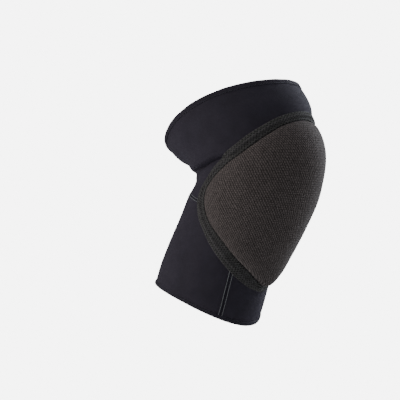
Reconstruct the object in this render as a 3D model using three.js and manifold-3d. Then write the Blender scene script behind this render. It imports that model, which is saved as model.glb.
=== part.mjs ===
// Handball knee pad: a bent stretch sleeve with a domed foam pad sewn on its front.
// Units are millimetres. +Z is up, the pad faces -Y, and the left half mirrors the right in X = 0.
// The origin is the middle of the knee, in the hollow of the sleeve.
//
// Every piece is first shaped flat and straight, then laid on the bent sleeve. A place on the sleeve
// has three numbers: "at", from 0 at the calf opening to 1 at the thigh opening; "turn", the angle
// round from the front towards -X; and "lift", the height above the sleeve's outer face.

import * as THREE from "three";
import { mergeVertices } from "three/addons/utils/BufferGeometryUtils.js";
import Module from "manifold-3d";

const wasm = await Module();
wasm.setup();

// The bend: the sleeve's cross sections fan out from a line along X behind the knee
const FAN_RADIUS = 255; // from the fan line to the middle of the knee
const KNEE_TILT = 8.5; // degrees, the section through the middle of the knee
const TOP_TILT = 26.8; // degrees, the thigh opening, whose front is higher
const BOTTOM_TILT = -22.8; // degrees, the calf opening, whose front is lower

// The leg hole
const KNEE_HALF_DEPTH = 62; // front to back
const KNEE_HALF_WIDTH = 57; // side to side
const CALF_RIM_ARCH = 7; // how far the calf opening rises at its sides
const CALF_RIM_LEAN = 1.8; // how far it rises at the front, and falls at the back
const THIGH_RIM_ARCH = 10;

// The sleeve's cloth
const WALL = 3;
const SEAM_GAP = 0.4;
const HEM_HEIGHT = 5;
const HEM_RISE = 1; // how far a turned hem stands out from the cloth
const SIDE_SEAM_TURN = 43.5; // degrees round from the front
const CROSS_SEAM_AT = 0.643; // behind the knee
const CROSS_SEAM_DROP = 18; // how much lower it runs under the pad
const CROSS_SEAM_FALL = { from: 0.8, to: 0.5 }; // where it falls, in shares of half a turn
const CUT_MARGIN = 2; // how far a seam's cutter reaches past both faces

// The pad and the flange round it, as cut flat
const PAD_HALF_WIDTH = 103;
const PAD_ABOVE = 74.5; // from the pad's middle to its top end
const PAD_BELOW = 102.5; // from the pad's middle to its lower end
const PAD_MIDDLE_AT = 0.568;
const PAD_THICKNESS = 17.5;
const FLANGE_WIDTH = 9.5;
const FLANGE_THICKNESS = 1.8;
const PIECE_GAP = 0.4; // between pieces that lie side by side
const SEAT_GAP = 0.65; // under the flange and the pad, whose facets cut across the round sleeve

// The depth of the crease behind the knee, which the folds are shares of
const CREASE_DEPTH = 4;

// Mesh steps: round the sleeve, up it to three places, round the pad and across its underside
const STEPS_ROUND = 48;
const STEPS_UP = [
  { from: 0.0, to: 0.7, count: 11 },
  { from: 0.7, to: 0.83, count: 7 },
  { from: 0.83, to: 1.0, count: 4 },
];
const STEPS_PAD_EDGE = 56;
const STEPS_PAD_UNDER = 10;
const SLOPE_STEP = 0.001; // either side of a point, when the slope of the leg's surface is measured
const MERGE_DISTANCE = 1e-4;

const DEG = Math.PI / 180;

// Sections up the leg: centre is a share of FAN_RADIUS, depth of KNEE_HALF_DEPTH, width of KNEE_HALF_WIDTH
const SECTIONS = [
  { at: 0.0, centre: 0.822, depth: 0.975, width: 0.947 },
  { at: 0.17, centre: 0.8255, depth: 0.967, width: 0.956 },
  { at: 0.32, centre: 0.847, depth: 0.952, width: 0.965 },
  { at: 0.46, centre: 0.895, depth: 0.992, width: 0.982 },
  { at: 0.62, centre: 0.97, depth: 1.04, width: 1.018 },
  { at: 0.727, centre: 1.03, depth: 1.023, width: 1.053 },
  { at: 0.817, centre: 1.032, depth: 1.104, width: 1.13 },
  { at: 0.896, centre: 1.02, depth: 1.24, width: 1.19 },
  { at: 1.0, centre: 0.997, depth: 1.265, width: 1.235 },
];

// Folds, the same on both sides: rise is a share of CREASE_DEPTH, along a share of the sleeve's
// length, turn and spread are shares of half a turn from the front, and drop how much lower the fold
// runs at the back than at that turn, a share of the sleeve's length
const FOLDS = [
  { name: "knee crease", at: 0.742, drop: -0.035, along: 0.017, turn: 0.645, spread: 0.19, rise: -1.0 },
  { name: "roll over it", at: 0.79, drop: -0.01, along: 0.03, turn: 0.72, spread: 0.22, rise: 0.2 },
  { name: "waist under it", at: 0.69, drop: 0, along: 0.03, turn: 1, spread: 0.3, rise: -0.35 },
  { name: "dip at the pad", at: 0.855, drop: 0, along: 0.03, turn: 0, spread: 0.25, rise: -0.3 },
];

// The flat pad's edge from its top end down one side: across is a share of PAD_HALF_WIDTH, up a
// share of PAD_ABOVE over the middle and of PAD_BELOW under it, and taper how much thinner the foam
// is there than on the pad's front
const PAD_EDGE = [
  { across: 0.0, up: 1.0, taper: 0.4 },
  { across: 0.25, up: 0.948, taper: 0.4 },
  { across: 0.476, up: 0.805, taper: 0.45 },
  { across: 0.68, up: 0.651, taper: 0.5 },
  { across: 0.835, up: 0.537, taper: 0.55 },
  { across: 0.951, up: 0.383, taper: 0.55 },
  { across: 0.995, up: 0.169, taper: 0.55 },
  { across: 0.932, up: -0.098, taper: 0.48 },
  { across: 0.782, up: -0.327, taper: 0.4 },
  { across: 0.602, up: -0.517, taper: 0.28 },
  { across: 0.437, up: -0.683, taper: 0.1 },
  { across: 0.257, up: -0.829, taper: -0.05 },
  { across: 0.126, up: -0.932, taper: -0.1 },
  { across: 0.0, up: -1.0, taper: -0.1 },
];

// The flange's width down the pad: at is the pad edge's up, and width a share of FLANGE_WIDTH
const FLANGE_EDGE = [
  { at: -1.0, width: 0.8 },
  { at: -0.93, width: 1.3 },
  { at: -0.8, width: 1.65 },
  { at: -0.65, width: 1.55 },
  { at: -0.5, width: 1.4 },
  { at: -0.3, width: 1.0 },
  { at: 0.1, width: 0.95 },
  { at: 0.6, width: 1.1 },
  { at: 1.0, width: 0.85 },
];

// The pad's crown from its middle to its edge: out is a share of the way, height of PAD_THICKNESS
const PAD_CROWN = [
  { out: 0.0, height: 1.0 },
  { out: 0.2, height: 0.99 },
  { out: 0.4, height: 0.96 },
  { out: 0.58, height: 0.9 },
  { out: 0.73, height: 0.81 },
  { out: 0.84, height: 0.72 },
  { out: 0.91, height: 0.61 },
  { out: 0.955, height: 0.5 },
  { out: 0.985, height: 0.36 },
  { out: 1.0, height: 0.16 },
];

// A hem's cross section: along is a share of HEM_HEIGHT from its stitched edge to the opening,
// lift a share of the hem's whole thickness
const HEM_SECTION = [
  { along: 0.0, lift: 0.0 },
  { along: 0.0, lift: 0.8 },
  { along: 0.25, lift: 1.0 },
  { along: 0.8, lift: 1.0 },
  { along: 1.0, lift: 0.75 },
  { along: 1.0, lift: 0.22 },
  { along: 0.8, lift: 0.0 },
];

// The flange's cross section: out is a share of FLANGE_WIDTH, lift of FLANGE_THICKNESS
const FLANGE_SECTION = [
  { out: 0.0, lift: 0.0 },
  { out: 0.0, lift: 0.75 },
  { out: 0.12, lift: 1.0 },
  { out: 0.4, lift: 1.15 },
  { out: 0.75, lift: 0.85 },
  { out: 1.0, lift: 0.5 },
  { out: 1.0, lift: 0.0 },
  { out: 0.5, lift: 0.0 },
];

const COLOURS = {
  sleeve: { color: 0x26242c, roughness: 0.82, metalness: 0 },
  hem: { color: 0x232129, roughness: 0.85, metalness: 0 },
  flange: { color: 0x22241f, roughness: 0.9, metalness: 0 },
  pad: { color: 0x35302e, roughness: 0.88, metalness: 0 },
};

const FLAT_LENGTH = FAN_RADIUS * (TOP_TILT - BOTTOM_TILT) * DEG; // the sleeve pulled straight
const FLAT_RADIUS = KNEE_HALF_WIDTH;

// Reads one column of a table at a place between its rows, on a smooth curve through them
function readSmooth(rows, column, at) {
  const last = rows.length - 1;
  let row = 0;
  while (row < last - 1 && at > rows[row + 1].at) row += 1;
  const slopeAt = (i) => {
    const below = rows[Math.max(i - 1, 0)];
    const above = rows[Math.min(i + 1, last)];
    return (above[column] - below[column]) / (above.at - below.at);
  };
  const span = rows[row + 1].at - rows[row].at;
  const f = (at - rows[row].at) / span;
  const rise = rows[row + 1][column] - rows[row][column];
  const start = slopeAt(row) * span;
  const end = slopeAt(row + 1) * span;
  return rows[row][column] + f * start
    + f * f * (3 * rise - 2 * start - end)
    + f * f * f * (start + end - 2 * rise);
}

// The bare leg shape under the folds
function legPoint(at, turn) {
  const tilt = (BOTTOM_TILT + at * (TOP_TILT - BOTTOM_TILT)) * DEG;
  const centre = FAN_RADIUS * readSmooth(SECTIONS, "centre", at);
  const depth = KNEE_HALF_DEPTH * readSmooth(SECTIONS, "depth", at);
  const width = KNEE_HALF_WIDTH * readSmooth(SECTIONS, "width", at);
  const reach = centre + depth * Math.cos(turn);
  const arch = (CALF_RIM_ARCH * (1 - at) ** 2 + THIGH_RIM_ARCH * at ** 2) * Math.sin(turn) ** 2
    + CALF_RIM_LEAN * (1 - at) ** 2 * Math.cos(turn);
  const knee = KNEE_TILT * DEG;
  return new THREE.Vector3(
    -width * Math.sin(turn),
    FAN_RADIUS * Math.cos(knee) - reach * Math.cos(tilt) + arch * Math.sin(tilt),
    -FAN_RADIUS * Math.sin(knee) + reach * Math.sin(tilt) + arch * Math.cos(tilt),
  );
}

// How far the folds lift the cloth
function foldLift(at, turn) {
  const round = Math.abs(Math.atan2(Math.sin(turn), Math.cos(turn))) / Math.PI;
  return FOLDS.reduce((sum, fold) => {
    const drop = fold.drop * THREE.MathUtils.smoothstep(round, fold.turn, 1);
    const along = (at - fold.at + drop) / fold.along;
    const spread = (round - fold.turn) / fold.spread;
    return sum + CREASE_DEPTH * fold.rise * Math.exp(-along * along - spread * spread);
  }, 0);
}

// A point over the sleeve's outer face
function sleevePoint(at, turn, lift) {
  const along = legPoint(at + SLOPE_STEP, turn).sub(legPoint(at - SLOPE_STEP, turn));
  const round = legPoint(at, turn + SLOPE_STEP).sub(legPoint(at, turn - SLOPE_STEP));
  const outward = along.cross(round).normalize();
  return legPoint(at, turn).addScaledVector(outward, lift + foldLift(at, turn));
}

// The same, from a place on the flat pattern of the pad, measured from the pad's middle
function padPoint(across, up, lift) {
  const frontReach = FAN_RADIUS + KNEE_HALF_DEPTH;
  const tilts = (TOP_TILT - BOTTOM_TILT) * DEG;
  const turn = across / ((KNEE_HALF_DEPTH + KNEE_HALF_WIDTH) / 2);
  return sleevePoint(PAD_MIDDLE_AT + up / frontReach / tilts, turn, lift);
}

// Moves every corner of a closed geometry with a function, and merges the corners that meet
function bend(geometry, place) {
  geometry.deleteAttribute("normal");
  geometry.deleteAttribute("uv");
  const position = geometry.attributes.position;
  const corner = new THREE.Vector3();
  for (let i = 0; i < position.count; i += 1) {
    corner.copy(place(corner.fromBufferAttribute(position, i)));
    position.setXYZ(i, corner.x, corner.y, corner.z);
  }
  return mergeVertices(geometry, MERGE_DISTANCE);
}

function toSolid(geometry) {
  const merged = mergeVertices(geometry, MERGE_DISTANCE);
  return new wasm.Manifold(new wasm.Mesh({
    numProp: 3,
    vertProperties: new Float32Array(merged.attributes.position.array),
    triVerts: new Uint32Array(merged.index.array),
  }));
}

function toGeometry(solid) {
  const mesh = solid.getMesh();
  const geometry = new THREE.BufferGeometry();
  geometry.setAttribute("position", new THREE.BufferAttribute(new Float32Array(mesh.vertProperties), 3));
  geometry.setIndex(new THREE.BufferAttribute(new Uint32Array(mesh.triVerts), 1));
  return geometry;
}

function bare(geometry) {
  geometry.deleteAttribute("normal");
  geometry.deleteAttribute("uv");
  return geometry;
}

// A closed ring of cloth round the straight sleeve, from points of lift and length along it
function straightRing(section) {
  const points = section.map(({ along, lift }) => new THREE.Vector2(FLAT_RADIUS + lift, along));
  return bare(new THREE.LatheGeometry([...points, points[0]], STEPS_ROUND));
}

// Lays the straight sleeve's corners on the bent one
function ontoSleeve(corner) {
  const turn = Math.atan2(-corner.x, corner.z);
  const lift = Math.hypot(corner.x, corner.z) - FLAT_RADIUS;
  return sleevePoint(corner.y / FLAT_LENGTH, turn, lift);
}

function steps(from, to, count) {
  return Array.from({ length: count }, (_, i) => from + ((to - from) * i) / count);
}

// The wall between the hems, with more rows where the crease is
function sleeveWall() {
  const first = HEM_HEIGHT + PIECE_GAP;
  const last = FLAT_LENGTH - HEM_HEIGHT - PIECE_GAP;
  const rows = STEPS_UP.flatMap(({ from, to, count }) => steps(from, to, count));
  rows.push(1);
  rows.forEach((share, i) => { rows[i] = first + share * (last - first); });
  const outer = rows.map((along) => ({ along, lift: 0 }));
  const inner = rows.map((along) => ({ along, lift: -WALL })).reverse();
  return toSolid(bend(straightRing([...outer, ...inner]), ontoSleeve));
}

// How far the cross seam has dropped at a turn
function crossSeamDrop(turn) {
  const { from, to } = CROSS_SEAM_FALL;
  return CROSS_SEAM_DROP * (1 - THREE.MathUtils.smoothstep(Math.abs(turn) / Math.PI, to, from));
}

// A thin ring that parts the wall at the cross seam
function crossSeamCutter() {
  const seam = CROSS_SEAM_AT * FLAT_LENGTH;
  const low = seam - SEAM_GAP / 2;
  const high = seam + SEAM_GAP / 2;
  const ontoSeam = (corner) => {
    corner.y -= crossSeamDrop(Math.atan2(-corner.x, corner.z));
    return ontoSleeve(corner);
  };
  return toSolid(bend(straightRing([
    { along: low, lift: CUT_MARGIN },
    { along: high, lift: CUT_MARGIN },
    { along: high, lift: -WALL - CUT_MARGIN },
    { along: low, lift: -WALL - CUT_MARGIN },
  ]), ontoSeam));
}

// A thin plate that parts the wall along a side seam, below the cross seam
function sideSeamCutter(side) {
  const height = CROSS_SEAM_AT * FLAT_LENGTH - crossSeamDrop(SIDE_SEAM_TURN * DEG);
  const depth = WALL + 2 * CUT_MARGIN;
  const cutter = bare(new THREE.BoxGeometry(SEAM_GAP, height, depth, 1, STEPS_UP[0].count, 1));
  cutter.translate(0, height / 2, FLAT_RADIUS - WALL / 2);
  cutter.rotateY(side * SIDE_SEAM_TURN * DEG);
  return toSolid(bend(cutter, ontoSleeve));
}

function cutSleevePanels() {
  const pieces = sleeveWall()
    .subtract(crossSeamCutter())
    .subtract(sideSeamCutter(1))
    .subtract(sideSeamCutter(-1))
    .decompose();
  const [upper, ...lower] = pieces.sort((a, b) => b.boundingBox().max[2] - a.boundingBox().max[2]);
  const [shin, calf] = lower.sort((a, b) => a.boundingBox().max[1] - b.boundingBox().max[1]);
  return { upper, shin, calf };
}

function hem(edge, opening) {
  const thickness = WALL + HEM_RISE;
  const section = HEM_SECTION.map(({ along, lift }) => ({
    along: edge + (opening - edge) * along,
    lift: lift * thickness - WALL,
  }));
  return straightRing(opening < edge ? section.reverse() : section);
}

// The pad's edge as a closed curve on the flat pattern, with the taper as its third number
const padEdge = (() => {
  const side = PAD_EDGE.map(({ across, up, taper }) => new THREE.Vector3(
    across * PAD_HALF_WIDTH, up * (up > 0 ? PAD_ABOVE : PAD_BELOW), taper,
  ));
  const otherSide = side.slice(1, -1).reverse().map((p) => new THREE.Vector3(-p.x, p.y, p.z));
  return new THREE.CatmullRomCurve3([...side, ...otherSide], true, "centripetal");
})();

function edgePoint(share, outset) {
  const point = padEdge.getPointAt(share % 1);
  const along = padEdge.getTangentAt(share % 1);
  return new THREE.Vector3(point.x - along.y * outset, point.y + along.x * outset, point.z);
}

// A corner of a lathe about +Y, as its share of a full turn round and its distance out
function latheShare(corner) {
  const share = Math.atan2(corner.x, corner.z) / (2 * Math.PI);
  return (Math.round(share * STEPS_PAD_EDGE) / STEPS_PAD_EDGE + 1) % 1;
}

function kneePad() {
  const crown = PAD_CROWN.map(({ out, height }) => new THREE.Vector2(out, height * PAD_THICKNESS));
  const under = steps(1, 0, STEPS_PAD_UNDER).map((out) => new THREE.Vector2(out, 0));
  const profile = [...crown, ...under, new THREE.Vector2(0, 0)].reverse();
  return bend(new THREE.LatheGeometry(profile, STEPS_PAD_EDGE), (corner) => {
    const out = Math.hypot(corner.x, corner.z);
    const edge = edgePoint(latheShare(corner), 0);
    return padPoint(edge.x * out, edge.y * out, SEAT_GAP + corner.y * (1 - edge.z * out * out));
  });
}

function padFlange() {
  const ring = FLANGE_SECTION.map(({ out, lift }) => new THREE.Vector2(
    1 + PIECE_GAP + out * FLANGE_WIDTH, SEAT_GAP + lift * FLANGE_THICKNESS,
  ));
  return bend(new THREE.LatheGeometry([...ring, ring[0]].reverse(), STEPS_PAD_EDGE), (corner) => {
    const share = latheShare(corner);
    const { y: up } = edgePoint(share, 0);
    const width = readSmooth(FLANGE_EDGE, "width", up / (up > 0 ? PAD_ABOVE : PAD_BELOW));
    const out = Math.hypot(corner.x, corner.z) - 1 - PIECE_GAP;
    const place = edgePoint(share, PIECE_GAP + out * width);
    return padPoint(place.x, place.y, corner.y);
  });
}

const part = new THREE.Group();

function addPiece(name, geometry, finish) {
  const mesh = new THREE.Mesh(geometry, new THREE.MeshStandardMaterial(finish));
  mesh.name = name;
  part.add(mesh);
}

const panels = cutSleevePanels();
addPiece("upper_sleeve", toGeometry(panels.upper), COLOURS.sleeve);
addPiece("calf_panel", toGeometry(panels.calf), COLOURS.sleeve);
addPiece("shin_panel", toGeometry(panels.shin), COLOURS.sleeve);
addPiece("top_hem", bend(hem(FLAT_LENGTH - HEM_HEIGHT, FLAT_LENGTH), ontoSleeve), COLOURS.hem);
addPiece("bottom_hem", bend(hem(HEM_HEIGHT, 0), ontoSleeve), COLOURS.hem);
addPiece("pad_flange", padFlange(), COLOURS.flange);
addPiece("knee_pad", kneePad(), COLOURS.pad);

export default part;
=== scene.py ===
# Handball knee pad: a bent stretch sleeve with a domed foam pad sewn on its front.
# Every piece is cut flat and straight, then laid on the bent sleeve. A place on the sleeve has three
# numbers: at, from 0 at the calf opening to 1 at the thigh opening; turn, the angle round from the
# front towards -X, in radians; and lift, the height above the cloth's outer face, in metres.

import math

import bmesh
import bpy
import numpy as np
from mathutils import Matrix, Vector, noise


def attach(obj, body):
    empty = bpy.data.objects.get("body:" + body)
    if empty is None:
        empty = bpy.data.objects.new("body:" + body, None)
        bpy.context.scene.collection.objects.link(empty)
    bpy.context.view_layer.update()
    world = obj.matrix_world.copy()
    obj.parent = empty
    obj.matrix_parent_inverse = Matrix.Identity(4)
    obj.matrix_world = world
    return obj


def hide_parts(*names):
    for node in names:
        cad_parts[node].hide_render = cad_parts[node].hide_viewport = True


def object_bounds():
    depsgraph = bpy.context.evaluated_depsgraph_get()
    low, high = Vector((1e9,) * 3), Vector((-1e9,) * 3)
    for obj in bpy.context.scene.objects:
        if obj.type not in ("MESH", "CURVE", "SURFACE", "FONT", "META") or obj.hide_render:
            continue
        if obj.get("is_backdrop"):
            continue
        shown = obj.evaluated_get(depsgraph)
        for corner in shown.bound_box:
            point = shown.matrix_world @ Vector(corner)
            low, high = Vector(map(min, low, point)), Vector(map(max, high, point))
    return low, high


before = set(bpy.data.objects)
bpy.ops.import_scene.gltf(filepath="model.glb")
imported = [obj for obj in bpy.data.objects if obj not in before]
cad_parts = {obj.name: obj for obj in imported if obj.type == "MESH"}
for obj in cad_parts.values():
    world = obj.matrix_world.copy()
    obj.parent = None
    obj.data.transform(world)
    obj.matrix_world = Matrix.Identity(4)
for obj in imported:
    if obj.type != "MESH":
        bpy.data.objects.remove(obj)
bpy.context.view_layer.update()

MM = 0.001
BODY = "root"

# The bend, the leg hole and the cloth, as the frame has them
FAN_RADIUS = 255 * MM
KNEE_TILT = math.radians(8.5)
TOP_TILT = math.radians(26.8)
BOTTOM_TILT = math.radians(-22.8)
KNEE_HALF_DEPTH = 62 * MM
KNEE_HALF_WIDTH = 57 * MM
CALF_RIM_ARCH = 7 * MM
CALF_RIM_LEAN = 1.8 * MM
THIGH_RIM_ARCH = 10 * MM
WALL = 3 * MM
HEM_HEIGHT = 5 * MM
SIDE_SEAM_TURN = math.radians(43.5)
CROSS_SEAM_AT = 0.643  # behind the knee
CROSS_SEAM_DROP = 18 * MM  # how much lower it runs under the pad
CROSS_SEAM_FALL = (0.5, 0.8)  # where it falls, in shares of half a turn
PAD_HALF_WIDTH = 103 * MM
PAD_ABOVE = 74.5 * MM
PAD_BELOW = 102.5 * MM
PAD_MIDDLE_AT = 0.568
PAD_THICKNESS = 17.5 * MM
FLANGE_WIDTH = 9.5 * MM
FLANGE_THICKNESS = 1.8 * MM
CREASE_DEPTH = 4 * MM
SEAM_LAP = 0.06 * MM  # how far panels reach into each other, so that no light comes through
HEM_LAP = 0.3 * MM  # how far a panel reaches into its hem
SEAT_GAP = 0.15 * MM  # under the flange and the pad
PAD_GAP = 0.3 * MM  # between the pad and the flange
SLOPE_STEP = 0.001
MERGE_DISTANCE = 0.002 * MM
FLAT_LENGTH = FAN_RADIUS * (TOP_TILT - BOTTOM_TILT)


def table(names, *rows):
    """Rows of numbers under named columns, each column as an array."""
    return dict(zip(names.split(), np.array(rows, float).T))


# Up the leg: centre is a share of FAN_RADIUS, depth of KNEE_HALF_DEPTH, width of KNEE_HALF_WIDTH
SECTIONS = table(
    "at     centre  depth  width",
    (0.000, 0.8220, 0.975, 0.947),
    (0.170, 0.8255, 0.967, 0.956),
    (0.320, 0.8470, 0.952, 0.965),
    (0.460, 0.8950, 0.992, 0.982),
    (0.620, 0.9700, 1.040, 1.018),
    (0.727, 1.0300, 1.023, 1.053),
    (0.817, 1.0320, 1.104, 1.130),
    (0.896, 1.0200, 1.240, 1.190),
    (1.000, 0.9970, 1.265, 1.235),
)

# Folds behind the knee, the same on both sides: rise is a share of CREASE_DEPTH, along of the
# sleeve's length, turn and spread of half a turn, and drop how much lower the fold runs at the back
MAIN_FOLDS = table(
    "at     drop   along  turn  spread  rise",
    (0.742, -0.035, 0.017, 0.645, 0.19, -1.00),
    (0.790, -0.010, 0.030, 0.72, 0.22, 0.20),
    (0.690, 0.000, 0.030, 1.00, 0.30, -0.35),
    (0.855, 0.000, 0.030, 0.00, 0.25, -0.30),
)

# Sharper creases in the same columns: the line in the knee crease, two more at the back, and the
# short drag lines beside the pad
FINE_FOLDS = table(
    "at     drop    along   turn  spread  rise",
    (0.740, -0.05, 0.0050, 0.62, 0.18, -0.75),
    (0.756, -0.05, 0.0100, 0.60, 0.20, 0.24),
    (0.712, 0.004, 0.0070, 0.93, 0.15, -0.24),
    (0.835, 0.020, 0.0120, 0.95, 0.12, -0.20),
    (0.675, -0.01, 0.0080, 0.94, 0.10, -0.16),
    (0.795, -0.03, 0.0080, 0.44, 0.05, -0.14),
    (0.158, 0.000, 0.0080, 0.00, 0.13, -0.12),
)

# The flat pad's edge from its top end down one side: across is a share of PAD_HALF_WIDTH, up of
# PAD_ABOVE over the middle and of PAD_BELOW under it, taper how much thinner the foam is there
PAD_EDGE = table(
    "across  up     taper",
    (0.000, 1.000, 0.40),
    (0.250, 0.948, 0.40),
    (0.476, 0.805, 0.45),
    (0.680, 0.651, 0.50),
    (0.835, 0.537, 0.55),
    (0.951, 0.383, 0.55),
    (0.995, 0.169, 0.55),
    (0.932, -0.098, 0.48),
    (0.782, -0.327, 0.40),
    (0.602, -0.517, 0.28),
    (0.437, -0.683, 0.10),
    (0.257, -0.829, -0.05),
    (0.126, -0.932, -0.10),
    (0.000, -1.000, -0.10),
)

# The flange's width down the pad: at is the pad edge's up, and width a share of FLANGE_WIDTH
FLANGE_EDGE = table(
    "at    width",
    (-1.00, 0.80),
    (-0.93, 1.30),
    (-0.80, 1.65),
    (-0.65, 1.55),
    (-0.50, 1.40),
    (-0.30, 1.00),
    (0.10, 0.95),
    (0.60, 1.10),
    (1.00, 0.85),
)

# The pad's crown from its middle out: height is a share of PAD_THICKNESS
PAD_CROWN = table(
    "at     height",
    (0.000, 1.00),
    (0.200, 0.99),
    (0.400, 0.96),
    (0.580, 0.90),
    (0.730, 0.81),
    (0.840, 0.72),
    (0.910, 0.61),
    (0.955, 0.50),
    (0.985, 0.36),
    (1.000, 0.16),
)

# Cross sections of the sewn edges, each a closed loop. Hem: along is a share of HEM_HEIGHT towards
# the opening, lift a share of WALL. Flange: along is a share of FLANGE_WIDTH, lift of its thickness
HEM_LOOP = table(
    "along  lift",
    (0.00, -0.03),
    (0.05, 0.08),
    (0.14, 0.10),
    (0.28, 0.16),
    (0.50, 0.20),
    (0.72, 0.19),
    (0.88, 0.11),
    (0.98, -0.05),
    (1.01, -0.30),
    (0.99, -0.60),
    (0.90, -0.90),
    (0.72, -1.02),
    (0.45, -1.05),
    (0.12, -1.05),
    (0.00, -1.01),
    (0.00, -0.50),
)
FLANGE_LOOP = table(
    "along  lift",
    (0.00, 0.05),
    (0.00, 0.40),
    (0.05, 0.68),
    (0.12, 0.58),
    (0.18, 0.46),
    (0.28, 0.50),
    (0.40, 0.72),
    (0.50, 1.05),
    (0.58, 1.20),
    (0.66, 1.05),
    (0.74, 0.70),
    (0.81, 0.56),
    (0.90, 0.62),
    (0.98, 0.48),
    (1.01, 0.25),
    (0.98, 0.03),
    (0.80, 0.00),
    (0.50, 0.00),
    (0.20, 0.00),
)


def read_smooth(rows, column, at):
    """One column of a table at places between its rows, on a smooth curve through them."""
    x, y = rows["at"], rows[column]
    order = np.arange(len(x))
    below, above = np.maximum(order - 1, 0), np.minimum(order + 1, len(x) - 1)
    slope = (y[above] - y[below]) / (x[above] - x[below])
    row = np.clip(np.searchsorted(x, at) - 1, 0, len(x) - 2)
    span = x[row + 1] - x[row]
    f = (at - x[row]) / span
    rise = y[row + 1] - y[row]
    start, end = slope[row] * span, slope[row + 1] * span
    return y[row] + f * start + f**2 * (3 * rise - 2 * start - end) + f**3 * (start + end - 2 * rise)


def smooth_step(low, high, x):
    f = np.clip((x - low) / max(high - low, 1e-9), 0, 1)
    return f * f * (3 - 2 * f)


def leg_point(at, turn):
    """The bare leg shape under the folds."""
    tilt = BOTTOM_TILT + at * (TOP_TILT - BOTTOM_TILT)
    centre = FAN_RADIUS * read_smooth(SECTIONS, "centre", at)
    depth = KNEE_HALF_DEPTH * read_smooth(SECTIONS, "depth", at)
    width = KNEE_HALF_WIDTH * read_smooth(SECTIONS, "width", at)
    reach = centre + depth * np.cos(turn)
    arch = (CALF_RIM_ARCH * (1 - at) ** 2 + THIGH_RIM_ARCH * at**2) * np.sin(turn) ** 2
    arch = arch + CALF_RIM_LEAN * (1 - at) ** 2 * np.cos(turn)
    return np.stack([
        -width * np.sin(turn),
        FAN_RADIUS * math.cos(KNEE_TILT) - reach * np.cos(tilt) + arch * np.sin(tilt),
        -FAN_RADIUS * math.sin(KNEE_TILT) + reach * np.sin(tilt) + arch * np.cos(tilt),
    ], axis=-1)


def share_round(turn):
    """0 at the front and 1 at the back, on both sides."""
    return np.abs(np.arctan2(np.sin(turn), np.cos(turn))) / math.pi


def cross_seam_at(turn):
    fallen = 1 - smooth_step(*CROSS_SEAM_FALL, share_round(turn))
    return CROSS_SEAM_AT - CROSS_SEAM_DROP / FLAT_LENGTH * fallen


def fold_lift(at, turn):
    """How far the folds lift the cloth."""
    round_it = share_round(turn)
    lift = 0
    for folds in (MAIN_FOLDS, FINE_FOLDS):
        for middle, drop, along, where, spread, rise in zip(*folds.values()):
            lower = drop * smooth_step(where, 1, round_it)
            past = ((at - middle + lower) / along) ** 2 + ((round_it - where) / spread) ** 2
            lift = lift + CREASE_DEPTH * rise * np.exp(-past)
    return lift


def unit(vectors):
    return vectors / np.linalg.norm(vectors, axis=-1, keepdims=True)


def outward(at, turn):
    up = leg_point(at + SLOPE_STEP, turn) - leg_point(at - SLOPE_STEP, turn)
    round_it = leg_point(at, turn + SLOPE_STEP) - leg_point(at, turn - SLOPE_STEP)
    return unit(np.cross(up, round_it))


def sleeve_point(at, turn, lift):
    """A point over the sleeve's outer face."""
    at, turn, lift = np.broadcast_arrays(at, turn, lift)
    height = lift + fold_lift(at, turn)
    return leg_point(at, turn) + outward(at, turn) * height[..., None]


def pad_place(across, up):
    """The at and turn of a place on the pad's flat pattern, measured from the pad's middle."""
    turn = across / ((KNEE_HALF_DEPTH + KNEE_HALF_WIDTH) / 2)
    at = PAD_MIDDLE_AT + up / (FAN_RADIUS + KNEE_HALF_DEPTH) / (TOP_TILT - BOTTOM_TILT)
    return at, turn


def smooth_loop(points, per_row=24):
    """A closed smooth curve through points, the first point repeated at its end."""
    p = [np.roll(points, 1 - k, axis=0) for k in range(4)]
    step = [np.maximum(np.linalg.norm(p[k + 1] - p[k], axis=1), 1e-9)[:, None] ** 0.5 for k in range(3)]
    start = (p[1] - p[0]) / step[0] - (p[2] - p[0]) / (step[0] + step[1]) + (p[2] - p[1]) / step[1]
    end = (p[2] - p[1]) / step[1] - (p[3] - p[1]) / (step[1] + step[2]) + (p[3] - p[2]) / step[2]
    start, end, rise = start * step[1], end * step[1], p[2] - p[1]
    f = (np.arange(per_row) / per_row)[:, None, None]
    curve = p[1] + f * start + f**2 * (3 * rise - 2 * start - end) + f**3 * (start + end - 2 * rise)
    curve = curve.transpose(1, 0, 2).reshape(-1, points.shape[1])
    return np.vstack([curve, curve[:1]])


def lengths_along(line):
    return np.concatenate([[0], np.cumsum(np.linalg.norm(np.diff(line, axis=0), axis=1))])


def read_line(line, share, values=None):
    """Points of a line at shares of its length, or other values given at the line's points."""
    values = line if values is None else values
    far = lengths_along(line)
    return np.stack([np.interp(share * far[-1], far, column) for column in values.T], axis=-1)


def pad_outline():
    """The pad's edge on its flat pattern, with the taper as a third column."""
    up = PAD_EDGE["up"]
    side = np.stack([
        PAD_EDGE["across"] * PAD_HALF_WIDTH, up * np.where(up > 0, PAD_ABOVE, PAD_BELOW),
    ], axis=1)
    taper = PAD_EDGE["taper"] * MM
    side = np.column_stack([side, taper])
    other = side[-2:0:-1] * (-1, 1, 1)
    curve = smooth_loop(np.vstack([side, other]))
    curve[:, 2] /= MM
    return curve


OUTLINE = pad_outline()
PAD_LINE = OUTLINE[:, :2]
OUTLINE_LENGTH = lengths_along(PAD_LINE)[-1]
EDGE_STEP = 0.002


def edge_place(share, outset):
    """Across, up and taper of a place outset from the pad's edge, share of the way round it."""
    share = share % 1
    across, up, taper = read_line(PAD_LINE, share, OUTLINE).T
    ahead = read_line(PAD_LINE, (share + EDGE_STEP) % 1)
    along = unit(ahead - read_line(PAD_LINE, (share - EDGE_STEP) % 1))
    return across - along[:, 1] * outset, up + along[:, 0] * outset, taper


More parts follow.
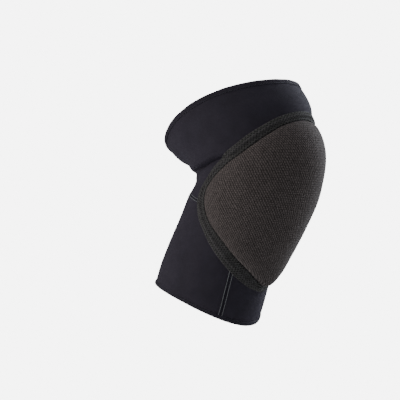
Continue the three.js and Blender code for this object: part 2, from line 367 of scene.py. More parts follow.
def flange_width(share):
    """The flange's width as a share of FLANGE_WIDTH, share of the way round the pad."""
    up = edge_place(share, 0)[1]
    return read_smooth(FLANGE_EDGE, "width", up / np.where(up > 0, PAD_ABOVE, PAD_BELOW))


def flange_place(share, out):
    """Across and up of a place on the flange, out being a share of its width there."""
    return edge_place(share, PAD_GAP + out * flange_width(share) * FLANGE_WIDTH)[:2]


def soft_noise(points, size, seed):
    """A smooth random value from about -1 to 1 at each point, size apart."""
    shift = Vector((seed, 2.0 * seed, 0.5 * seed))
    return np.array([noise.noise(Vector(p) / size + shift) for p in points])


# Making and finishing pieces


def cloth_grid(columns, rows, place, pattern=None):
    """A flat grid laid by place(across, along), both from 0 to 1, with UVs in metres from pattern."""
    bm = bmesh.new()
    bmesh.ops.create_grid(bm, x_segments=columns, y_segments=rows, size=0.5)
    flat = np.array([v.co[:2] for v in bm.verts]) + 0.5
    if pattern:
        weave = bm.loops.layers.uv.new("weave")
        uvs = np.stack(pattern(flat[:, 0], flat[:, 1]), axis=-1)
        for face in bm.faces:
            for loop in face.loops:
                loop[weave].uv = uvs[loop.vert.index]
    for vert, point in zip(bm.verts, place(flat[:, 0], flat[:, 1])):
        vert.co = point
    bmesh.ops.remove_doubles(bm, verts=bm.verts, dist=MERGE_DISTANCE)
    return bm


def to_piece(name, bm, slot, material, *replaces):
    """Makes a mesh a piece of the object."""
    mesh = bpy.data.meshes.new(name)
    bm.to_mesh(mesh)
    bm.free()
    mesh.polygons.foreach_set("use_smooth", [True] * len(mesh.polygons))
    mesh.materials.append(material)
    piece = bpy.data.objects.new(name, mesh)
    bpy.context.scene.collection.objects.link(piece)
    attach(piece, BODY)
    if replaces:
        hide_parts(*replaces)
    return piece


def point_outwards(bm, middle=None):
    """Turns a closed mesh's faces outwards, or an open sheet's away from the middle of the leg."""
    bmesh.ops.recalc_face_normals(bm, faces=bm.faces)
    if middle is None:
        return
    facing = sum(f.normal.dot(f.calc_center_median() - middle) * f.calc_area() for f in bm.faces)
    if facing < 0:
        bmesh.ops.reverse_faces(bm, faces=bm.faces)


# The sleeve's three panels

PANEL_STEP = 1.6 * MM  # a panel's mesh round the leg
ROW_STEPS = (  # rows up the sleeve: to this at, this far apart
    (0.05, 0.9 * MM),
    (0.56, 2.4 * MM),
    (0.68, 1.1 * MM),
    (0.80, 0.5 * MM),
    (0.95, 1.5 * MM),
    (1.00, 0.9 * MM),
)
SEAM_DIP = 0.45 * MM  # how far a panel's edge is pulled down at a flat seam
HEM_DIP = 0.12 * MM
EDGE_WIDTH = 1.6 * MM
CLOTH_SWELL = 0.28 * MM  # slow unevenness of the stretched cloth
SLOW_SWELL = 24 * MM  # from one swell to the next
QUICK_SWELL = 9 * MM
QUICK_SHARE = 0.45  # how high the quick ones rise beside the slow
HALF_LAP = SEAM_LAP / 2 / FLAT_LENGTH
LAP_TURN = SEAM_LAP / 2 / KNEE_HALF_WIDTH
HEM_AT = (HEM_HEIGHT - HEM_LAP) / FLAT_LENGTH
GIRTH_POINTS = 121


def rows_between(low, high):
    rows, at = [low], low
    for end, step in ROW_STEPS:
        end = min(end, high)
        if end > at:
            count = math.ceil((end - at) * FLAT_LENGTH / step)
            rows += list(np.linspace(at, end, count + 1)[1:])
            at = end
    return np.array(rows)


def girth(at, left, right):
    turns = np.linspace(left, right, GIRTH_POINTS)
    return lengths_along(sleeve_point(np.full(GIRTH_POINTS, at), turns, 0))[-1]


def sleeve_panel(node, edges, left, right, dips, material):
    """A panel between two turns, edges giving its lower and upper edge at each turn, and dips how
    far its lower, upper and side edges are pulled down."""
    levels = [np.mean(edge) for edge in edges(np.linspace(left, right, GIRTH_POINTS))]
    rows = rows_between(*levels)
    middle_at, middle_turn = sum(levels) / 2, (left + right) / 2
    mean_girth = girth(middle_at, left, right)
    per_turn = mean_girth / (right - left)

    def spread_out(across, along):
        turn = left + across * (right - left)
        low, high = edges(turn)
        shares = (rows - rows[0]) / (rows[-1] - rows[0])
        share = np.interp(along, np.linspace(0, 1, len(rows)), shares)
        return low + share * (high - low), turn, low, high

    def place(across, along):
        at, turn, low, high = spread_out(across, along)
        away = (
            (at - low) * FLAT_LENGTH,
            (high - at) * FLAT_LENGTH,
            np.minimum(turn - left, right - turn) * per_turn,
        )
        dip = sum(depth * np.exp(-(far / EDGE_WIDTH) ** 2) for depth, far in zip(dips, away))
        bare = leg_point(at, turn)
        swell = soft_noise(bare, SLOW_SWELL, 3.0) + QUICK_SHARE * soft_noise(bare, QUICK_SWELL, 7.0)
        return sleeve_point(at, turn, CLOTH_SWELL * swell - dip)

    def pattern(across, along):
        at, turn, low, high = spread_out(across, along)
        return turn * per_turn, at * FLAT_LENGTH

    bm = cloth_grid(round(mean_girth / PANEL_STEP), len(rows) - 1, place, pattern)
    inside = sleeve_point(np.array(middle_at), np.array(middle_turn), -KNEE_HALF_WIDTH)
    point_outwards(bm, Vector(inside))
    piece = to_piece(node + "_cloth", bm, "sleeve_cloth", material, node)
    wall = piece.modifiers.new("wall", "SOLIDIFY")
    wall.thickness = WALL
    wall.offset = -1
    wall.use_even_offset = True
    front = lengths_along(sleeve_point(rows, np.full(len(rows), middle_turn), 0))[-1]
    widest = max(girth(at, left, right) for at in (levels[0], middle_at, levels[1]))


# Finishes: node maths written as Python


class Value:
    """A node's output, so that sums on it are written as Python."""

    def __init__(self, nodes, socket):
        self.nodes = nodes
        self.socket = socket

    def maths(self, operation, *others):
        inputs = dict(enumerate([self, *others]))
        return self.nodes.node("ShaderNodeMath", {"operation": operation}, inputs)

    def turned(self, operation, other):
        return self.nodes.node("ShaderNodeMath", {"operation": operation}, {0: other, 1: self})

    def __add__(self, other):
        return self.maths("ADD", other)

    def __sub__(self, other):
        return self.maths("SUBTRACT", other)

    def __rsub__(self, other):
        return self.turned("SUBTRACT", other)

    def __mul__(self, other):
        return self.maths("MULTIPLY", other)

    def __truediv__(self, other):
        return self.maths("DIVIDE", other)

    def __abs__(self):
        return self.maths("ABSOLUTE")

    __radd__ = __add__
    __rmul__ = __mul__

    def sine(self):
        return self.maths("SINE")

    def wave(self):
        """0 at each whole number, 1 halfway between two."""
        return (self * (2 * math.pi)).maths("COSINE") * -0.5 + 0.5

    def fraction(self):
        return self.maths("FRACT")

    def between(self, low, high):
        """0 below low, 1 above high and smooth between them."""
        settings = {"interpolation_type": "SMOOTHSTEP"}
        inputs = {"Value": self, "From Min": low, "From Max": high}
        return self.nodes.node("ShaderNodeMapRange", settings, inputs)


class Nodes:
    """A node tree, and one way to add any node to it."""

    def __init__(self, tree):
        self.tree = tree

    def node(self, kind, settings=None, inputs=None, output=0):
        made = self.tree.nodes.new(kind)
        for setting, value in (settings or {}).items():
            setattr(made, setting, value)
        self.join(made, inputs or {})
        return Value(self, made.outputs[output])

    def join(self, node, inputs):
        for socket, value in inputs.items():
            if isinstance(value, Value):
                self.tree.links.new(value.socket, node.inputs[socket])
            else:
                node.inputs[socket].default_value = value


class Finish(Nodes):
    """A material and the nodes that paint it."""

    def __init__(self, name):
        self.material = bpy.data.materials.new(name)
        self.material.use_nodes = True
        super().__init__(self.material.node_tree)
        self.shader = self.tree.nodes["Principled BSDF"]

    def weave(self):
        """Across and along the cut cloth, in millimetres."""
        flat = self.node("ShaderNodeUVMap", {"uv_map": "weave"})
        parts = [self.node("ShaderNodeSeparateXYZ", inputs={0: flat}, output=k) for k in (0, 1)]
        return [part * (1 / MM) for part in parts]

    def cloudy(self, size, detail=2.0):
        """Soft noise from 0 to 1 with spots about size across."""
        here = self.node("ShaderNodeTexCoord", output="Object")
        inputs = {"Vector": here, "Scale": 1 / size, "Detail": detail}
        return self.node("ShaderNodeTexNoise", inputs=inputs)

    def fuzz(self):
        """The tufts of a worn cloth, 1 on a tuft and 0 beside it."""
        return self.cloudy(1.6 * MM, 1.0).between(0.35, 0.7)

    def mix(self, share, low, high):
        """The colour low where share is 0 and high where it is 1."""
        inputs = {"Factor": share, 6: low, 7: high}
        return self.node("ShaderNodeMix", {"data_type": "RGBA"}, inputs, output=2)

    def dress(self, paint, roughness, height, depth, **constants):
        """Joins colour, roughness and relief to the shader, depth being the relief's in metres."""
        inputs = {"Strength": 1.0, "Distance": depth, "Height": height}
        relief = self.node("ShaderNodeBump", inputs=inputs)
        self.join(self.shader, {"Base Color": paint, "Roughness": roughness, "Normal": relief})
        self.join(self.shader, {name.replace("_", " "): value for name, value in constants.items()})
        return self.material


def colour(red, green, blue):
    """A colour as it looks on a screen, from 0 to 255, as the shader wants it."""
    shares = [c / 255 for c in (red, green, blue)]
    return (*[s / 12.92 if s <= 0.04045 else ((s + 0.055) / 1.055) ** 2.4 for s in shares], 1.0)


def knit_height(across, along, wale, course):
    """The face of a plain knit: columns of small V loops, wale wide and course high, in millimetres."""
    side = abs((across / wale).fraction() - 0.5) * 2
    legs = (side * math.pi).sine()
    loops = (along / course + side * 0.5).wave()
    return legs * (loops * 0.55 + 0.45)


def sleeve_finish(name, dark, light):
    """Foam rubber cloth faced with a fine knit, matt with a faint violet sheen."""
    finish = Finish(name)
    across, along = finish.weave()
    knit = knit_height(across, along, 0.95, 0.8)
    lint = finish.cloudy(1.1 * MM, 1.0).between(0.62, 0.78)
    shade = knit * 0.5 + finish.cloudy(16 * MM) * 0.4 + lint * 0.16
    height = knit + finish.cloudy(5 * MM) * 0.8
    return finish.dress(
        finish.mix(shade, dark, light), 0.92 - knit * 0.14, height, 0.1 * MM,
        Sheen_Weight=0.05, Sheen_Roughness=0.5, Sheen_Tint=colour(170, 165, 205),
        Specular_IOR_Level=0.12)


FLANGE_MESH = 3.4  # millimetres from pinhole to pinhole


def flange_finish():
    """A firm knit band pressed flat, with pinholes between its loops."""
    finish = Finish("flange_knit")
    across, along = finish.weave()
    rib = (across / FLANGE_MESH + along / FLANGE_MESH).wave()
    cross = (along / FLANGE_MESH - across / FLANGE_MESH).wave()
    pinhole_and_shade = ((1 - rib) * (1 - cross)).between(0.4, 0.9)
    loops = rib * 0.6 + cross * 0.4
    shade = loops * 0.4 + finish.fuzz() * 0.4 + finish.cloudy(9 * MM) * 0.35
    cloth = finish.mix(shade, colour(23, 23, 23), colour(72, 71, 72))
    # The pinholes are sunk in the relief and painted near black, as painted shade down in them.
    return finish.dress(
        finish.mix(pinhole_and_shade * 0.8, cloth, colour(9, 10, 8)), 0.95 - loops * 0.1, loops - pinhole_and_shade, 0.18 * MM,
        Sheen_Weight=0.05, Sheen_Roughness=0.5, Specular_IOR_Level=0.12)


MESH_PITCH = 1.8  # millimetres from rib to rib
MESH_LOOP = 2.5  # and from one raised loop of a rib to the next
MESH_LEAN = 1.5  # how far a rib climbs for each step across the flat pad


def mesh_finish():
    """Open mesh over foam: steep diagonal ribs of raised loops, with small holes between the loops."""
    finish = Finish("pad_mesh")
    across, along = finish.weave()
    steep = math.hypot(MESH_LEAN, 1)
    rib_wander = finish.cloudy(30 * MM) - 0.5 + (finish.cloudy(6 * MM) - 0.5) * 0.7
    loop_wander = (finish.cloudy(12 * MM) - 0.5) * 1.2
    ribs = (across * MESH_LEAN - along) / (steep * MESH_PITCH) + rib_wander
    loops = (across + along * MESH_LEAN) / (steep * MESH_LOOP / 2) + loop_wander
    rib = ribs.wave()
    loop = (ribs * math.pi).sine() * (loops * math.pi).sine()
    raised = rib * 0.7 + loop * 0.3
    hole_and_shade = (rib * -0.6 - loop * 0.4).between(-0.3, 0.25)
    shade = raised * 0.6 + finish.fuzz() * 0.3
    shade = shade + finish.cloudy(5 * MM) * 0.2 + finish.cloudy(20 * MM) * 0.12
    cloth = finish.mix(shade, colour(20, 18, 18), colour(90, 83, 82))
    # The holes are sunk in the relief and painted dark, as painted shade down in them.
    return finish.dress(
        finish.mix(hole_and_shade * 0.6, cloth, colour(17, 15, 15)), 0.95 - rib * 0.12,
        raised - hole_and_shade * 0.5, 0.2 * MM, Sheen_Weight=0.05, Sheen_Roughness=0.45, Specular_IOR_Level=0.12)


def thread_finish(name, dark, light):
    finish = Finish(name)
    twist = finish.cloudy(0.5 * MM, 1.0)
    paint = finish.mix(twist, dark, light)
    return finish.dress(paint, 0.7 - twist * 0.1, twist, 0.05 * MM, Specular_IOR_Level=0.25)


SLEEVE = sleeve_finish("sleeve_cloth", colour(26, 24, 30), colour(53, 50, 60))
# The hems are the sleeve's own cloth, painted a little darker as painted shade.
HEM = sleeve_finish("hem_cloth", colour(24, 22, 28), colour(50, 47, 57))
FLANGE = flange_finish()
MESH = mesh_finish()
LIGHT_THREAD = thread_finish("light_thread", colour(74, 77, 80), colour(126, 129, 133))
DARK_THREAD = thread_finish("dark_thread", colour(30, 30, 36), colour(66, 66, 78))
FLANGE_THREAD = thread_finish("flange_thread", colour(38, 40, 37), colour(78, 81, 77))


# The panels

CALF_LEFT, CALF_RIGHT = SIDE_SEAM_TURN - LAP_TURN, 2 * math.pi - SIDE_SEAM_TURN + LAP_TURN
SHIN_RIGHT = SIDE_SEAM_TURN + LAP_TURN


def upper_edges(turn):
    return cross_seam_at(turn) - HALF_LAP, 1 - HEM_AT + 0 * turn


def lower_edges(turn):
    return HEM_AT + 0 * turn, cross_seam_at(turn) + HALF_LAP


sleeve_panel("upper_sleeve", upper_edges, -math.pi, math.pi, (SEAM_DIP, HEM_DIP, SEAM_DIP), SLEEVE)
sleeve_panel("calf_panel", lower_edges, CALF_LEFT, CALF_RIGHT, (HEM_DIP, SEAM_DIP, SEAM_DIP), SLEEVE)
sleeve_panel("shin_panel", lower_edges, -SHIN_RIGHT, SHIN_RIGHT, (HEM_DIP, SEAM_DIP, SEAM_DIP), SLEEVE)


# The hems

HEM_STITCH = 3.0 * MM  # from one stitch to the next
HEM_PUCKER = 0.1 * MM
STITCHED_SHARE = 0.12  # where a hem is stitched down, as a share of its height
PUCKER_REACH = 0.3  # how far the stitches pull at it, as a share of its height
HEM_WOBBLE = 0.22 * MM
HEM_WOBBLE_SIZE = 14 * MM
HEM_COLUMNS = 520
HEM_ROWS = 26
TOP_HEM = (1 - HEM_HEIGHT / FLAT_LENGTH, 1)  # from the stitched side to the opening
BOTTOM_HEM = (HEM_HEIGHT / FLAT_LENGTH, 0)


def hem(node, edge_at, opening_at):
    section = [HEM_LOOP["along"] * HEM_HEIGHT, HEM_LOOP["lift"] * WALL]
    loop = smooth_loop(np.stack(section, axis=1))
    span = lengths_along(loop)[-1]
    round_it = girth(opening_at, -math.pi, math.pi)
    stitches = round(round_it / HEM_STITCH)

    def place(across, along):
        down, lift = read_line(loop, along).T
        share = down / HEM_HEIGHT
        turn = (2 * across - 1) * math.pi
        at = edge_at + (opening_at - edge_at) * share
        outer = np.clip(lift / WALL + 0.5, 0, 1)
        near = np.exp(-((share - STITCHED_SHARE) / PUCKER_REACH) ** 2)
        pucker = np.cos(across * stitches * 2 * math.pi) * outer * near
        wobble = soft_noise(leg_point(at, turn), HEM_WOBBLE_SIZE, 11.0) * HEM_WOBBLE
        return sleeve_point(at + wobble / FLAT_LENGTH, turn, lift + HEM_PUCKER * pucker + wobble)

    def pattern(across, along):
        return across * round_it, along * span

    bm = cloth_grid(HEM_COLUMNS, HEM_ROWS, place, pattern)
    point_outwards(bm)
    to_piece(node + "_cloth", bm, "hem_cloth", HEM, node)


hem("top_hem", *TOP_HEM)
hem("bottom_hem", *BOTTOM_HEM)


# The flange round the pad

FLANGE_STITCH = 2.8 * MM
FLANGE_PUCKER = 0.1 * MM
FLANGE_COLUMNS = 640
FLANGE_ROWS = 30
INNER_ROW = 0.18  # where the flange is stitched down, as shares of its width
OUTER_ROW = 0.84
ROW_WIDTH = 0.1
FLANGE_WOBBLE = 0.16 * MM
FLANGE_WOBBLE_SIZE = 11 * MM


def pad_flange():
    section = [FLANGE_LOOP["along"] * FLANGE_WIDTH, FLANGE_LOOP["lift"] * FLANGE_THICKNESS]
    loop = smooth_loop(np.stack(section, axis=1))
    span = lengths_along(loop)[-1]
    stitches = round(OUTLINE_LENGTH / FLANGE_STITCH)

    def place(across, along):
        out, lift = read_line(loop, along).T
        out = out / FLANGE_WIDTH
        lift = lift / flange_width(across)
        top = np.clip(lift / FLANGE_THICKNESS * 2, 0, 1)
        rows = sum(np.exp(-((out - row) / ROW_WIDTH) ** 2) for row in (INNER_ROW, OUTER_ROW))
        pucker = np.cos(across * stitches * 2 * math.pi) * rows * top
        at, turn = pad_place(*flange_place(across, out))
        wobble = soft_noise(leg_point(at, turn), FLANGE_WOBBLE_SIZE, 5.0) * FLANGE_WOBBLE * top
        return sleeve_point(at, turn, SEAT_GAP + lift + FLANGE_PUCKER * pucker + wobble)

    def pattern(across, along):
        return across * OUTLINE_LENGTH, along * span

    bm = cloth_grid(FLANGE_COLUMNS, FLANGE_ROWS, place, pattern)
    point_outwards(bm)
    to_piece("pad_flange_cloth", bm, "flange_knit", FLANGE, "pad_flange")


pad_flange()


# The foam pad under its mesh cover

PAD_CELLS = 92
PAD_START = 0.985  # the crown before it is blown up, as a share of its height
PAD_PRESSURE = 4.0
PAD_FRAMES = 20
COVER_MASS = 0.001  # kilograms for each point of the cover
COVER_BEND = 0.005
COVER_STRETCH = 5.0
PAD_MOST_MOVE = 1.8 * MM
GATHERS = 64  # small puckers round the cover's edge
GATHER_RISE = 0.25 * MM
GATHER_REACH = 0.06  # how far in they run, as a share of the way to the middle
GATHER_CHANGE = 0.4  # how much stronger or weaker a gather may be
GATHER_SIZE = 22 * MM  # from a strong gather to the next
COVER_SWELL = 0.35 * MM  # slow unevenness of the cover
COVER_SWELL_SIZE = 30 * MM


def disc_place(across, along):
    """A square's place drawn out to the pad's outline: its flat place, how far out it is, the taper
    there and its share of the way round."""
    x, y = 2 * across - 1, 2 * along - 1
    x, y = x * np.sqrt(1 - y * y / 2), y * np.sqrt(1 - x * x / 2)
    out = np.minimum(np.hypot(x, y), 1)
    share = np.arctan2(x, y) / (2 * math.pi)
    edge_across, edge_up, taper = edge_place(share, 0)
    return edge_across * out, edge_up * out, out, taper, share


def crown_place(across, along):
    flat_across, flat_up, out, taper, share = disc_place(across, along)
    at, turn = pad_place(flat_across, flat_up)
    height = read_smooth(PAD_CROWN, "height", out) * PAD_THICKNESS * (1 - taper * out**2) * PAD_START
    bare = leg_point(at, turn)
    edge = np.exp(-((1 - out) / GATHER_REACH) ** 2)
    strength = 1 - GATHER_CHANGE + GATHER_CHANGE * soft_noise(bare, GATHER_SIZE, 2.0)
    gather = np.cos(share * GATHERS * 2 * math.pi) * strength
    swell = soft_noise(bare, COVER_SWELL_SIZE, 9.0)
    height = height + GATHER_RISE * gather * edge + COVER_SWELL * swell * (1 - edge)
    return sleeve_point(at, turn, SEAT_GAP + height)


def knee_pad():
    """The crown, closed by a copy of itself laid on the sleeve as its seat."""
    bm = cloth_grid(PAD_CELLS, PAD_CELLS, crown_place, lambda *flat: disc_place(*flat)[:2])
    weave = bm.loops.layers.uv.active
    flat = np.array([vert.link_loops[0][weave].uv for vert in bm.verts])
    seat = sleeve_point(*pad_place(flat[:, 0], flat[:, 1]), SEAT_GAP)
    row = bm.verts.layers.int.new("row")
    for i, vert in enumerate(bm.verts):
        vert[row] = i
    made = bmesh.ops.extrude_face_region(bm, geom=list(bm.faces), use_keep_orig=True)
    for vert in made["geom"]:
        if isinstance(vert, bmesh.types.BMVert):
            vert.co = seat[vert[row]]
            vert[row] = -1
    point_outwards(bm)
    held = [i for i, vert in enumerate(bm.verts) if vert[row] == -1]
    bm.verts.layers.int.remove(row)
    piece = to_piece("knee_pad_cover", bm, "pad_mesh", MESH, "knee_pad")
    swell(piece, held)
    subdivide(piece)


def swell(piece, held):
    """Blows the crown up a little as cloth, with the seat held down, then caps how far it moved."""
    group = piece.vertex_groups.new(name="held")
    group.add(held, 1.0, "REPLACE")
    before = np.array([v.co for v in piece.data.vertices])
    cloth = piece.modifiers.new("cloth", "CLOTH")
    cloth.settings.vertex_group_mass = group.name
    cloth.settings.mass = COVER_MASS
    cloth.settings.bending_stiffness = COVER_BEND
    cloth.settings.tension_stiffness = cloth.settings.compression_stiffness = COVER_STRETCH
    cloth.settings.use_pressure = True
    cloth.settings.uniform_pressure_force = PAD_PRESSURE
    cloth.settings.effector_weights.gravity = 0
    cloth.point_cache.frame_start = 1
    cloth.point_cache.frame_end = PAD_FRAMES
    for step in range(1, PAD_FRAMES + 1):
        bpy.context.scene.frame_set(step)
    blown = piece.evaluated_get(bpy.context.evaluated_depsgraph_get())
    move = np.array([v.co for v in blown.data.vertices]) - before
    far = np.linalg.norm(move, axis=1, keepdims=True)
    move *= np.minimum(1, PAD_MOST_MOVE / np.maximum(far, PAD_MOST_MOVE))
    piece.modifiers.remove(cloth)
    piece.vertex_groups.remove(group)
    piece.data.vertices.foreach_set("co", (before + move).astype(np.float32).ravel())
    piece.data.update()
    bpy.context.scene.frame_set(1)


def subdivide(piece):
    modifier = piece.modifiers.new("smooth", "SUBSURF")
    modifier.levels = modifier.render_levels = 1
    coarse = piece.data
    fine = piece.evaluated_get(bpy.context.evaluated_depsgraph_get())
    piece.data = bpy.data.meshes.new_from_object(fine)
    piece.modifiers.remove(modifier)
    bpy.data.meshes.remove(coarse)


knee_pad()


# Threads: each stitch rises over the cloth and dips into it at both ends

STITCH_COLUMNS = 8
STITCH_DIP = 1.2  # how far a stitch's ends go down, as a share of the thread's thickness
STITCH_TURN = 6  # how late and sharply they do
THREAD_SIDES = 6
LINE_POINTS = 200  # of a line up the sleeve
ROUND_POINTS = 500  # of a line round the sleeve
FLANGE_POINTS = 900  # of a line round the flange


def sewn(line, normals, pitch, width, thickness=None, slant=0.0, sway=0.0, proud=0.3):
    """A thread or a flat band of threads along a line of points. Each stitch may slant, or the whole
    thread sway to and fro over a seam; proud is how far its middle stands over the line, as a share
    of its thickness."""
    thickness = thickness or width
    stitches = max(1, round(lengths_along(line)[-1] / pitch))
    columns = stitches * STITCH_COLUMNS
    step = 1 / columns

    def place(across, along):
        normal = unit(read_line(line, across, normals))
        ahead = read_line(line, np.minimum(across + step, 1))
        ahead = ahead - read_line(line, np.maximum(across - step, 0))
        side = np.cross(normal, unit(ahead))
        phase = (across * stitches) % 1
        swing = np.abs(2 * phase - 1)
        aside = slant * (phase - 0.5) * pitch + sway * (2 * swing - 1)
        lift = thickness * (proud - STITCH_DIP * swing**STITCH_TURN)
        angle = 2 * math.pi * along
        aside = aside + np.cos(angle) * width / 2
        lift = lift + np.sin(angle) * thickness / 2
        return read_line(line, across) + side * aside[:, None] + normal * lift[:, None]

    bm = cloth_grid(columns, THREAD_SIDES, place)
    point_outwards(bm)
    return bm


def threads(name, rows, material):
    """One piece of thread from several sewn rows."""
    joined = bmesh.new()
    for bm in rows:
        row = bpy.data.meshes.new(name)
        bm.to_mesh(row)
        bm.free()
        joined.from_mesh(row)
        bpy.data.meshes.remove(row)
    to_piece(name, joined, "seam_thread", material)


def up_the_sleeve(low, high, turn, shift, lift=0.0):
    """A line up the sleeve, shifted sideways in metres, with the cloth's normals."""
    at = np.linspace(low, high, LINE_POINTS)
    turns = np.full(LINE_POINTS, turn + shift / KNEE_HALF_WIDTH)
    return sleeve_point(at, turns, lift), outward(at, turns)


def round_the_sleeve(at, left, right, lift=0.0):
    """A line round the sleeve, at being a function of turn."""
    turns = np.linspace(left, right, ROUND_POINTS)
    ats = at(turns)
    return sleeve_point(ats, turns, lift), outward(ats, turns)


def round_the_flange(out, lift):
    share = np.linspace(0, 1, FLANGE_POINTS)
    at, turn = pad_place(*flange_place(share, out))
    return sleeve_point(at, turn, SEAT_GAP + lift / flange_width(share)), outward(at, turn)


SEAM_ROWS = 1.8 * MM  # from a flat seam's middle to each row of stitches
CROSS_ROWS = 1.3 * MM  # the same at the cross seam
SEAM_PITCH = 2.4 * MM
SEAM_STITCH = {"pitch": SEAM_PITCH, "width": 0.6 * MM}
BACK_STITCH = {"pitch": SEAM_PITCH, "width": 0.45 * MM}
SEAM_BRIDGE = {"pitch": SEAM_PITCH, "width": 0.3 * MM, "sway": SEAM_ROWS, "proud": 0.1}
SEAM_BACK = {"pitch": SEAM_PITCH, "width": 4 * MM, "thickness": 0.25 * MM, "proud": 0.2}
SEAM_BACK_LIFT = -WALL - 0.1 * MM
CROSS_SEAM_END = math.radians(84)  # the rest of the cross seam is under the pad
low, high = HEM_AT, cross_seam_at(SIDE_SEAM_TURN)
back_low, back_high = cross_seam_at(math.pi), 1 - HEM_AT
light_rows, dark_rows, back_rows = [], [], []
for side in (-1, 1):
    for turn in (-SIDE_SEAM_TURN, SIDE_SEAM_TURN):
        light_rows.append(sewn(*up_the_sleeve(low, high, turn, side * SEAM_ROWS), **SEAM_STITCH))
    row = up_the_sleeve(back_low, back_high, math.pi, side * SEAM_ROWS)
    dark_rows.append(sewn(*row, **BACK_STITCH))
    light_rows.append(sewn(*round_the_sleeve(
        lambda turn: cross_seam_at(turn) + side * CROSS_ROWS / FLAT_LENGTH,
        CROSS_SEAM_END, 2 * math.pi - CROSS_SEAM_END), **SEAM_STITCH))
for turn in (-SIDE_SEAM_TURN, SIDE_SEAM_TURN):
    dark_rows.append(sewn(*up_the_sleeve(low, high, turn, 0), **SEAM_BRIDGE))
    back_rows.append(sewn(*up_the_sleeve(low, high, turn, 0, SEAM_BACK_LIFT), **SEAM_BACK))
back_rows.append(sewn(*up_the_sleeve(back_low, back_high, math.pi, 0, SEAM_BACK_LIFT), **SEAM_BACK))
back_rows.append(sewn(*round_the_sleeve(cross_seam_at, -math.pi, math.pi, SEAM_BACK_LIFT), **SEAM_BACK))
dark_rows.append(sewn(*up_the_sleeve(back_low, back_high, math.pi, 0), **SEAM_BRIDGE))
dark_rows.append(sewn(*round_the_sleeve(
    cross_seam_at, CROSS_SEAM_END, 2 * math.pi - CROSS_SEAM_END), **SEAM_BRIDGE))
threads("seam_stitches", light_rows, LIGHT_THREAD)
threads("seam_bridges", dark_rows, DARK_THREAD)
threads("seam_backs", back_rows, DARK_THREAD)

HEM_THREAD = {"pitch": HEM_STITCH, "width": 0.5 * MM, "slant": 0.4}
HEM_THREAD_LIFT = 0.3 * MM
hem_rows = []
for edge_at, opening_at in (TOP_HEM, BOTTOM_HEM):
    at = edge_at + (opening_at - edge_at) * STITCHED_SHARE
    line = round_the_sleeve(lambda turn: at + 0 * turn, -math.pi, math.pi, HEM_THREAD_LIFT)
    hem_rows.append(sewn(*line, **HEM_THREAD))
threads("hem_stitches", hem_rows, DARK_THREAD)

FLANGE_ROW = {"pitch": FLANGE_STITCH, "width": 0.5 * MM}
INNER_ROW_LIFT = 0.46 * FLANGE_THICKNESS
OUTER_ROW_LIFT = 0.58 * FLANGE_THICKNESS
threads("flange_stitches", [
    sewn(*round_the_flange(INNER_ROW, INNER_ROW_LIFT), **FLANGE_ROW),
    sewn(*round_the_flange(OUTER_ROW, OUTER_ROW_LIFT), **FLANGE_ROW),
], FLANGE_THREAD)


# The stage, the light and the camera

VIEW_AZIMUTH = -54
VIEW_DISTANCE = 1.153
LENS = 100
SENSOR = 36
FRAME_MIDDLE = 200
PIXEL = VIEW_DISTANCE * SENSOR / LENS / (2 * FRAME_MIDDLE)
ORIGIN_PIXEL = (252.5, 190.5)  # where the middle of the knee lies in the photograph's frame
LAMP_DISTANCE = 1.6
FLOOR_DROP = 0.13
FLOOR_REACH = 9.0
FLOOR_WHITE = (0.65, 0.65, 0.65, 1)
BACKGROUND = 6.5  # how bright the floor and the sky look to the camera
FILL = 0.3  # how bright the sky is to the object


def towards(azimuth, elevation):
    """The direction from the knee to a camera or lamp, in degrees."""
    a, e = math.radians(azimuth), math.radians(elevation)
    return Vector((math.sin(a) * math.cos(e), -math.cos(a) * math.cos(e), math.sin(e)))


def add(name, data, place, back):
    """A camera or lamp that looks along the opposite of back."""
    made = bpy.data.objects.new(name, data)
    made.location = place
    made.rotation_mode = "QUATERNION"
    made.rotation_quaternion = back.to_track_quat("Z", "Y")
    bpy.context.scene.collection.objects.link(made)
    return made


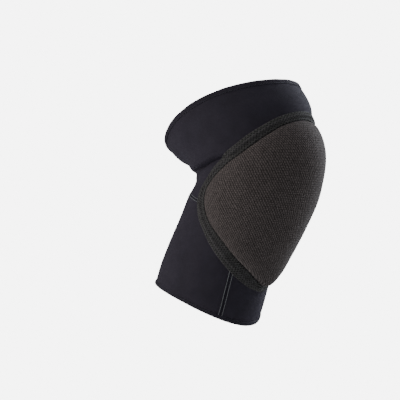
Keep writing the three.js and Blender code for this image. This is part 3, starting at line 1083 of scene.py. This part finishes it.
def floor():
    """A plain white floor, as bright as the sky to the camera, so that no horizon shows."""
    low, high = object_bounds()
    bm = bmesh.new()
    bmesh.ops.create_grid(bm, x_segments=1, y_segments=1, size=FLOOR_REACH)
    bmesh.ops.translate(bm, verts=bm.verts, vec=(0, 0, low.z - FLOOR_DROP))
    mesh = bpy.data.meshes.new("floor")
    bm.to_mesh(mesh)
    bm.free()
    paint = Finish("white_floor")
    paint.join(paint.shader, {"Base Color": FLOOR_WHITE, "Roughness": 0.9})
    plain = Value(paint, paint.shader.outputs[0])
    glow = paint.node("ShaderNodeEmission", inputs={"Strength": BACKGROUND})
    to_the_eye = paint.node("ShaderNodeLightPath", output="Is Camera Ray")
    shown = paint.node("ShaderNodeMixShader", inputs={0: to_the_eye, 1: plain, 2: glow})
    paint.join(paint.tree.nodes["Material Output"], {"Surface": shown})
    mesh.materials.append(paint.material)
    sheet = bpy.data.objects.new("floor", mesh)
    bpy.context.scene.collection.objects.link(sheet)
    sheet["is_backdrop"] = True


def sky():
    world = bpy.data.worlds.new("studio")
    world.use_nodes = True
    bpy.context.scene.world = world
    nodes = Nodes(world.node_tree)
    fill, glow = [
        nodes.node("ShaderNodeBackground", inputs={"Color": (1, 1, 1, 1), "Strength": strength})
        for strength in (FILL, BACKGROUND)
    ]
    to_the_eye = nodes.node("ShaderNodeLightPath", output="Is Camera Ray")
    shown = nodes.node("ShaderNodeMixShader", inputs={0: to_the_eye, 1: fill, 2: glow})
    nodes.join(world.node_tree.nodes["World Output"], {"Surface": shown})


def lamp(name, azimuth, elevation, size, power, tint):
    """A soft square lamp that faces the knee."""
    data = bpy.data.lights.new(name, "AREA")
    data.shape = "SQUARE"
    data.size = size
    data.energy = power
    data.color = tint
    back = towards(azimuth, elevation)
    add(name, data, back * LAMP_DISTANCE, back)


def camera():
    back = towards(VIEW_AZIMUTH, 0)
    right = towards(VIEW_AZIMUTH + 90, 0)
    data = bpy.data.cameras.new("camera")
    data.lens = LENS
    data.sensor_width = SENSOR
    place = back * VIEW_DISTANCE + right * (FRAME_MIDDLE - ORIGIN_PIXEL[0]) * PIXEL
    place.z = (ORIGIN_PIXEL[1] - FRAME_MIDDLE) * PIXEL
    bpy.context.scene.camera = add("camera", data, place, back)


floor()
sky()
lamp("key", -130, 10, 0.9, 22.5, (1.0, 0.95, 0.92))
lamp("rim", 74, 20, 0.9, 30, (0.88, 0.93, 1.0))
lamp("top", 25, 60, 1.2, 12, (0.95, 0.97, 1.0))
camera()
